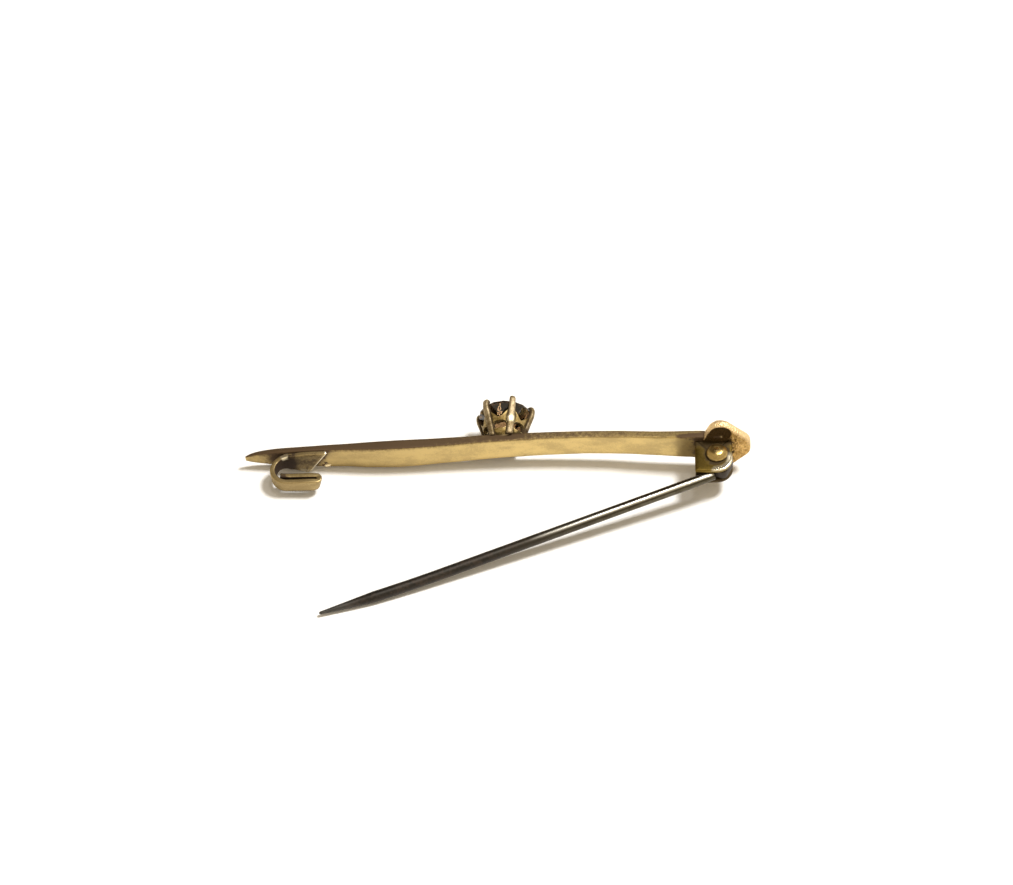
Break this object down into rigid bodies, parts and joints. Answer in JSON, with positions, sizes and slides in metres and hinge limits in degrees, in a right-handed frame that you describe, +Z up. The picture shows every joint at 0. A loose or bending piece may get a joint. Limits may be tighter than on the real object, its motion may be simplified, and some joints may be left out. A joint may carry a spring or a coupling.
{
  "type": "bar brooch",
  "caption": "Slender bowed gold bar brooch with a claw-set round brown stone, a leaf-shaped end, a folded catch and a steel pin hinged on a rivet, lying on its long edge with the pin open.",
  "frame": {"origin": "centre of the bounding box in plan, on the surface that the brooch lies on", "axes": "+X along the bar from its pointed tip to its leaf-shaped end, +Y from the brooch's back to its front as it lies on its long edge, +Z up"},
  "size_m": [0.0462, 0.0226, 0.0065],
  "materials": {
    "gold": "worn 9 ct gold, satin with a dull patina in the hollows",
    "stone": "cut and polished paste, see-through smoky brown",
    "rivet": "polished by wear",
    "steel": "browned and slightly pitted, dull at the point"
  },
  "bodies": {
    "brooch": {"bar": "gold", "stone": "stone", "rivet": "rivet"},
    "pin": {"pin": "steel"}
  },
  "joints": [
    {"name": "pin_hinge", "type": "hinge", "parent": "brooch", "child": "pin", "pos_m": [0.02008, 0.00464, 0.00306], "axis": [-0.0444, -0.0854, 0.9954], "range_deg": [-21, 66]}
  ]
}
